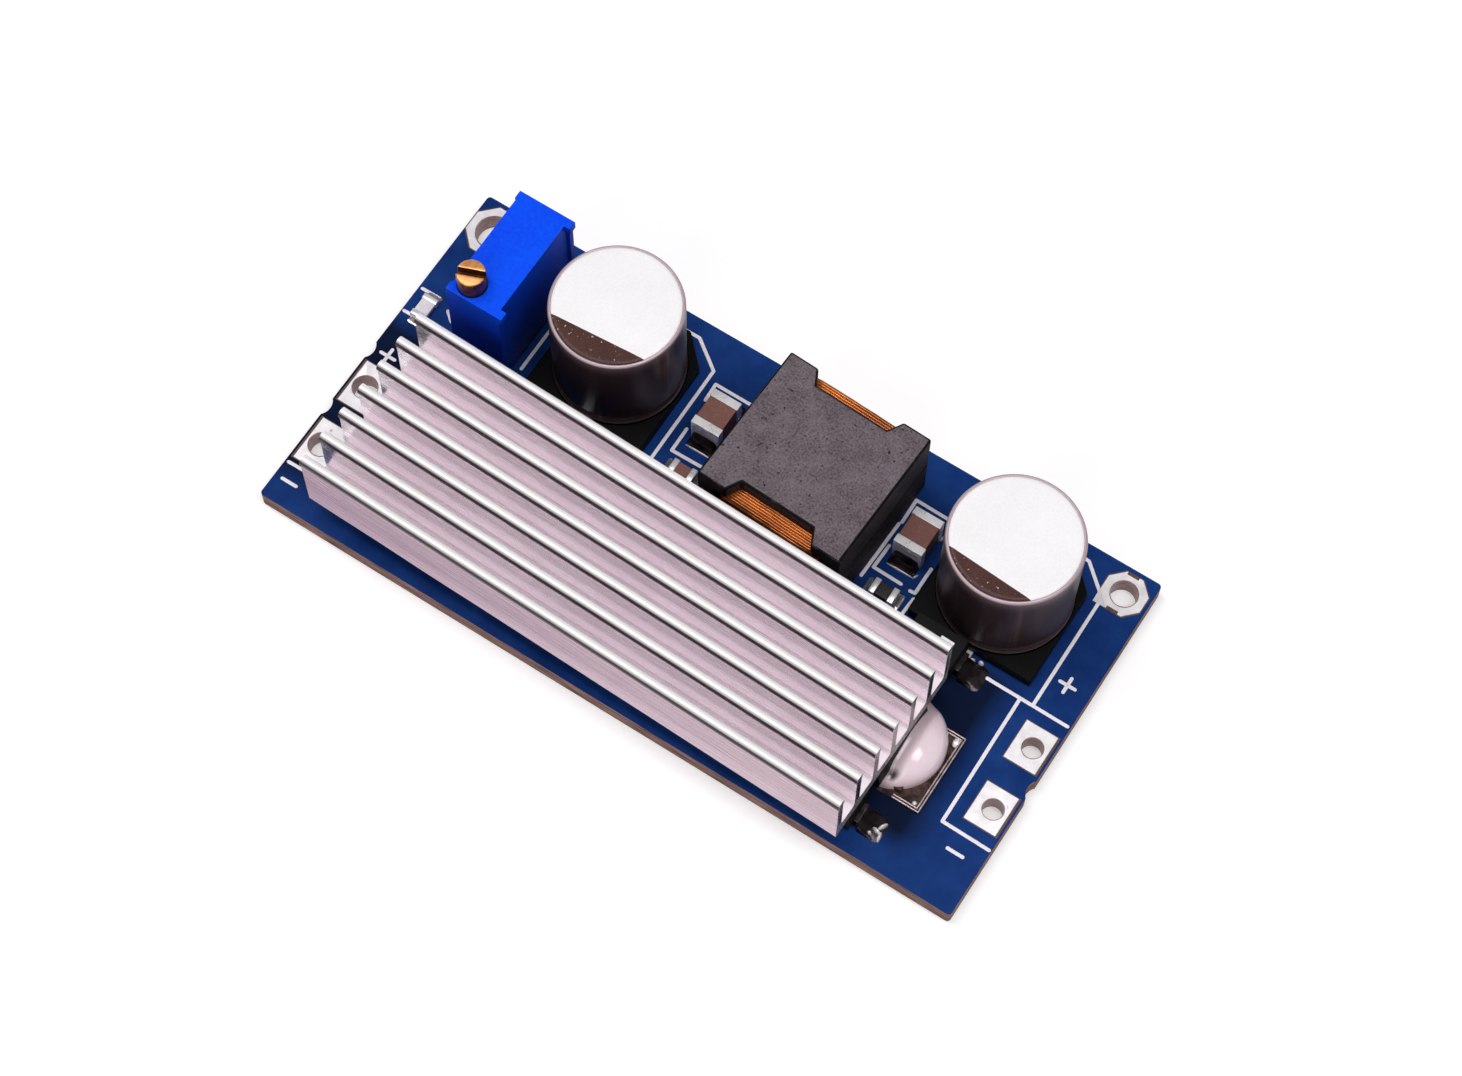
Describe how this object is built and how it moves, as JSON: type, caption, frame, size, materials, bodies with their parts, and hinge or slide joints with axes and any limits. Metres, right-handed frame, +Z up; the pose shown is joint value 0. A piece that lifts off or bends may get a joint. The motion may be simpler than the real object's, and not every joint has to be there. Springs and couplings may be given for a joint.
{
  "type": "boost converter module",
  "caption": "Bare circuit board with a finned heatsink over its regulator, a ferrite inductor, electrolytic capacitors and a multi-turn trimmer that sets the stepped-up output voltage.",
  "frame": {"origin": "centre of the board's underside", "axes": "+X along the board from the input end to the output end, +Y from the heatsink side to the trimmer side, +Z up out of the component side"},
  "size_m": [0.0592, 0.0299, 0.0138],
  "materials": {
    "solder_mask": "glossy solder mask over glass-epoxy laminate",
    "tin": "bright tinned metal",
    "heatsink_aluminium": "extruded, bright",
    "adhesive": "cured white thermal adhesive",
    "moulded_black": "moulded epoxy",
    "ferrite": "sintered ferrite, fine grained",
    "copper": "enamelled copper",
    "can_aluminium": "drawn, glossy",
    "base_plastic": "moulded",
    "ceramic_brown": "fired ceramic",
    "resistor_black": "glazed",
    "indicator_white": "cast resin",
    "trimmer_blue": "moulded, satin",
    "trimmer_potting": "cast epoxy",
    "screw_brass": "turned",
    "seal_rubber": "moulded",
    "carriage_nylon": "moulded",
    "wiper_metal": "stamped spring strip",
    "element_ceramic": "fired ceramic"
  },
  "bodies": {
    "module": {"circuit_board": "solder_mask", "input_lands": "tin", "output_lands": "tin", "mounting_lands": "tin", "power_lands": "tin", "heatsink": "heatsink_aluminium", "thermal_adhesive": "adhesive", "regulator_body": "moulded_black", "regulator_tab": "tin", "regulator_leads": "tin", "rear_diode_body": "moulded_black", "rear_diode_terminals": "tin", "front_diode_body": "moulded_black", "front_diode_terminals": "tin", "inductor_core_upper": "ferrite", "inductor_core_lower": "ferrite", "inductor_winding": "copper", "input_capacitor_can": "can_aluminium", "input_capacitor_base": "base_plastic", "input_capacitor_leads": "tin", "output_capacitor_can": "can_aluminium", "output_capacitor_base": "base_plastic", "output_capacitor_leads": "tin", "input_ceramic_body": "ceramic_brown", "input_ceramic_terminals": "tin", "output_ceramic_body": "ceramic_brown", "output_ceramic_terminals": "tin", "feedback_resistor_body": "resistor_black", "feedback_resistor_terminals": "tin", "bypass_chip_body": "ceramic_brown", "bypass_chip_terminals": "tin", "indicator_body": "indicator_white", "indicator_terminals": "tin", "trimmer_housing": "trimmer_blue", "trimmer_base": "trimmer_potting", "trimmer_seal": "seal_rubber", "trimmer_element": "element_ceramic", "trimmer_pins": "tin", "trimmer_solder": "tin"},
    "adjusting_screw": {"trimmer_screw": "screw_brass"},
    "wiper_carriage": {"trimmer_carriage": "carriage_nylon", "trimmer_wiper": "wiper_metal"}
  },
  "joints": [
    {"name": "screw_turn", "type": "hinge", "parent": "module", "child": "adjusting_screw", "pos_m": [-0.02266, 0.0037, 0.012], "axis": [0, 0, 1], "range_deg": [-4410, 4410]},
    {"name": "wiper_travel", "type": "slide", "parent": "module", "child": "wiper_carriage", "axis": [0, 0, 1], "range_m": [-0.0025, 0.0025]}
  ],
  "couplings": [
    {"joint": "screw_turn", "follows": "wiper_travel", "rad_per_m": -30788}
  ]
}
